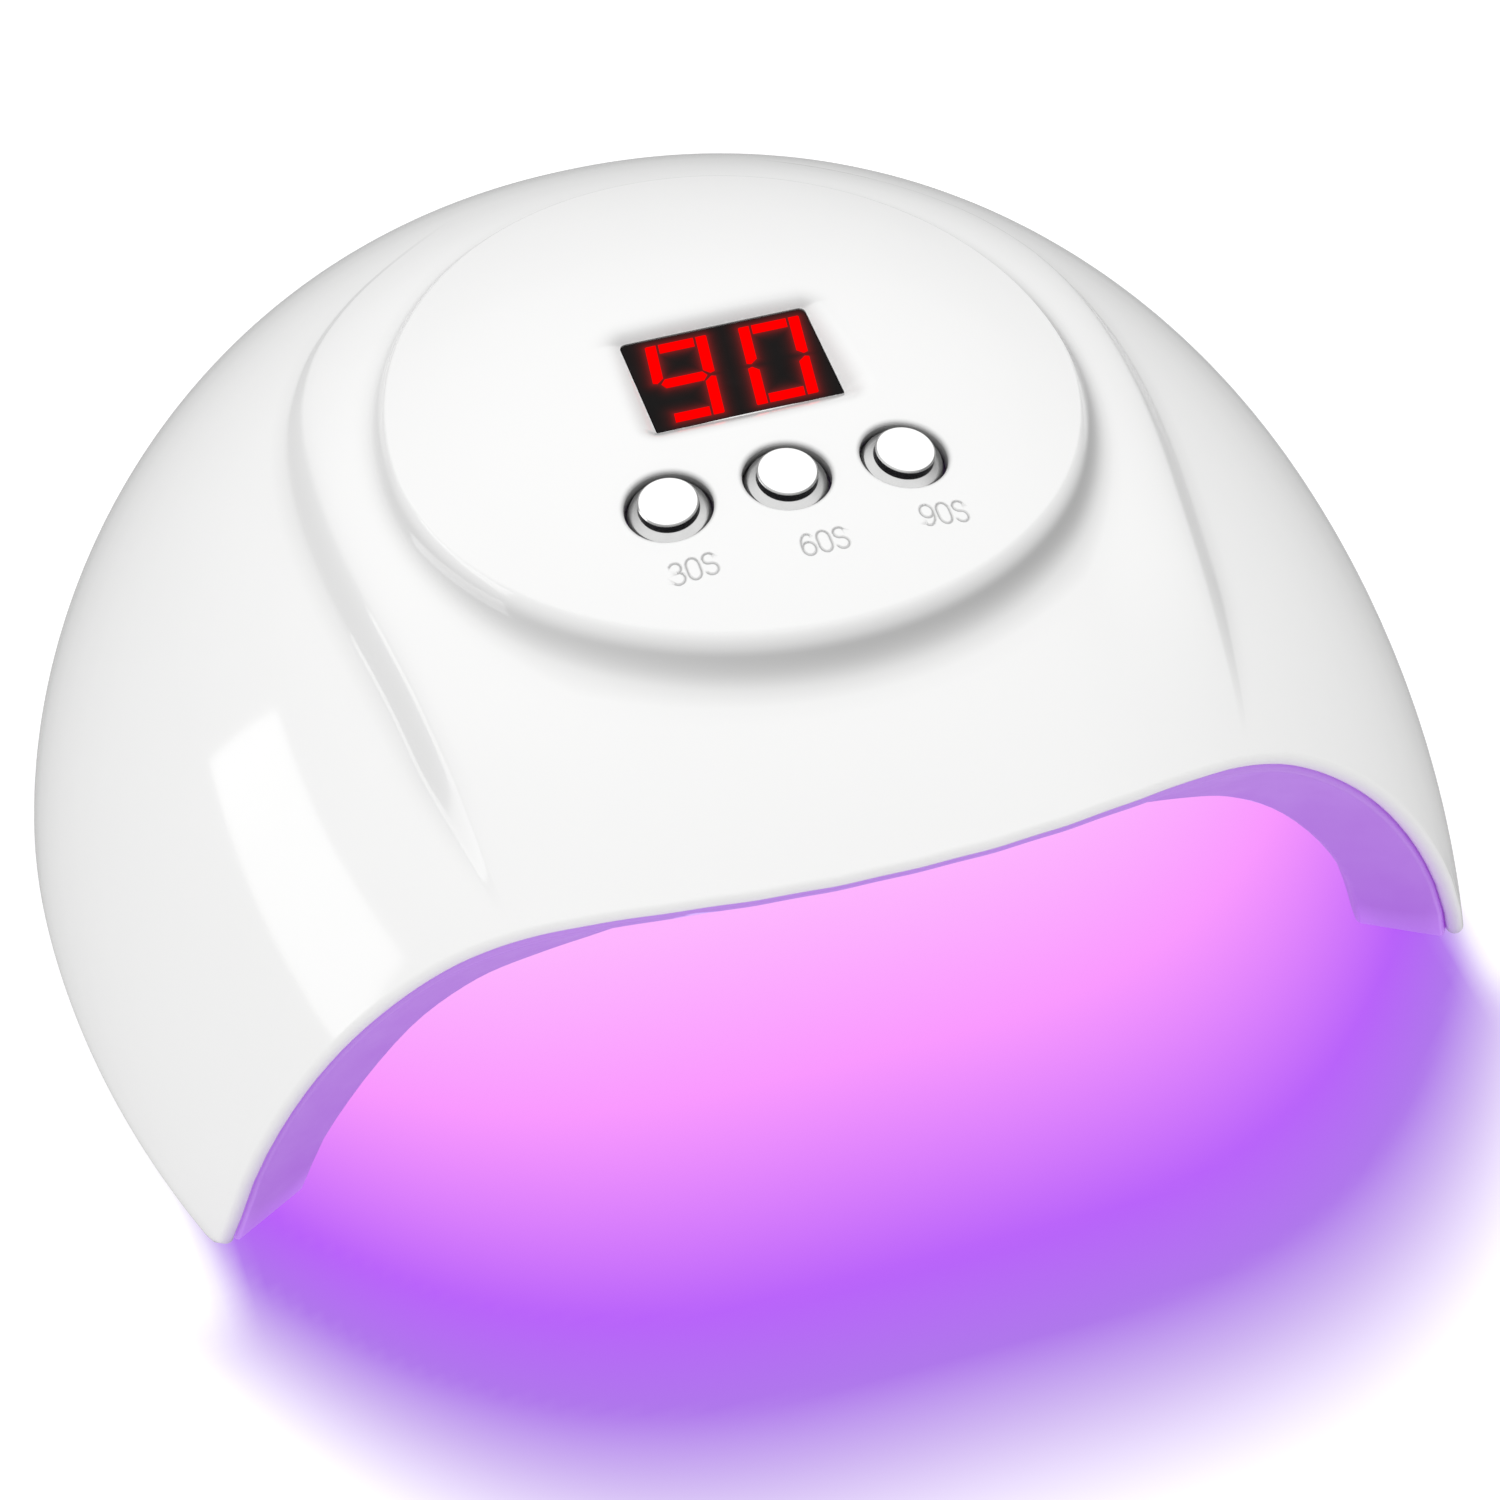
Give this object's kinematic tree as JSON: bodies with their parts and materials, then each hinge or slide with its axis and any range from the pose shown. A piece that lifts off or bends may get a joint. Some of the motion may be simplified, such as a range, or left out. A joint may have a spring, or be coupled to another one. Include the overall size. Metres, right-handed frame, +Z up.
{
  "type": "uv curing lamp",
  "caption": "Arched desktop UV curing lamp: glossy dome shell, lit hand cavity open at the front, red two-digit timer display and chrome timer buttons on a raised oval top.",
  "frame": {"origin": "centre of the bounding box on the table plane, which is the underside of the rubber feet", "axes": "+X to the user's right, +Z up, the open front faces -Y and the power inlet faces +Y"},
  "size_m": [0.1926, 0.1796, 0.0835],
  "materials": {
    "shell_white": "high gloss moulded ABS",
    "liner_white": "semi-gloss moulded reflector, lit violet by the lamp beads",
    "button_chrome": "bright chrome-plated plastic",
    "display_black": "smooth black face with red seven-segment digits",
    "board_green": "green solder mask",
    "board_white": "white solder mask",
    "lamp_bead": "clear domed lens, lit violet",
    "foot_rubber": "matt soft rubber",
    "screw_steel": "zinc-plated steel",
    "capacitor_sleeve": "blue shrink sleeve on an aluminium can",
    "black_plastic": "moulded black thermoplastic",
    "lead_insulation": "PVC insulation"
  },
  "bodies": {
    "root": {"top_shell": "shell_white", "inner_liner": "liner_white", "led_01": "lamp_bead", "led_02": "lamp_bead", "led_03": "lamp_bead", "led_04": "lamp_bead", "led_05": "lamp_bead", "led_06": "lamp_bead", "led_07": "lamp_bead", "led_08": "lamp_bead", "led_09": "lamp_bead", "led_10": "lamp_bead", "led_11": "lamp_bead", "led_12": "lamp_bead", "led_13": "lamp_bead", "led_14": "lamp_bead", "led_15": "lamp_bead", "led_16": "lamp_bead", "led_17": "lamp_bead", "led_18": "lamp_bead", "led_board_top": "board_white", "led_board_left": "board_white", "led_board_right": "board_white", "led_board_rear": "board_white", "display_module": "display_black", "control_board": "board_green", "microcontroller": "black_plastic", "power_transistor": "black_plastic", "filter_capacitor": "capacitor_sleeve", "liner_screw_front_left": "screw_steel", "liner_screw_front_right": "screw_steel", "liner_screw_rear_left": "screw_steel", "liner_screw_rear_right": "screw_steel", "board_screw_front_left": "screw_steel", "board_screw_front_right": "screw_steel", "board_screw_rear_left": "screw_steel", "board_screw_rear_right": "screw_steel", "switch_body_30s": "black_plastic", "switch_body_60s": "black_plastic", "switch_body_90s": "black_plastic", "power_socket": "black_plastic", "socket_pin": "screw_steel", "foot_front_left": "foot_rubber", "foot_front_right": "foot_rubber", "foot_rear_left": "foot_rubber", "foot_rear_right": "foot_rubber", "lead_power": "lead_insulation", "lead_led_top": "lead_insulation", "lead_led_left": "lead_insulation", "lead_led_right": "lead_insulation", "lead_led_rear": "lead_insulation"},
    "button_30s": {"button_cap_30s": "button_chrome", "switch_plunger_30s": "black_plastic"},
    "button_60s": {"button_cap_60s": "button_chrome", "switch_plunger_60s": "black_plastic"},
    "button_90s": {"button_cap_90s": "button_chrome", "switch_plunger_90s": "black_plastic"}
  },
  "joints": [
    {"name": "press_30s", "type": "slide", "parent": "root", "child": "button_30s", "axis": [0.1097, 0.1392, -0.9842], "range_m": [0, 0.0006], "stiffness_N_per_m": 2000, "springref_m": -0.0003},
    {"name": "press_60s", "type": "slide", "parent": "root", "child": "button_60s", "axis": [0, 0.1392, -0.9903], "range_m": [0, 0.0006], "stiffness_N_per_m": 2000, "springref_m": -0.0003},
    {"name": "press_90s", "type": "slide", "parent": "root", "child": "button_90s", "axis": [-0.1097, 0.1392, -0.9842], "range_m": [0, 0.0006], "stiffness_N_per_m": 2000, "springref_m": -0.0003}
  ]
}
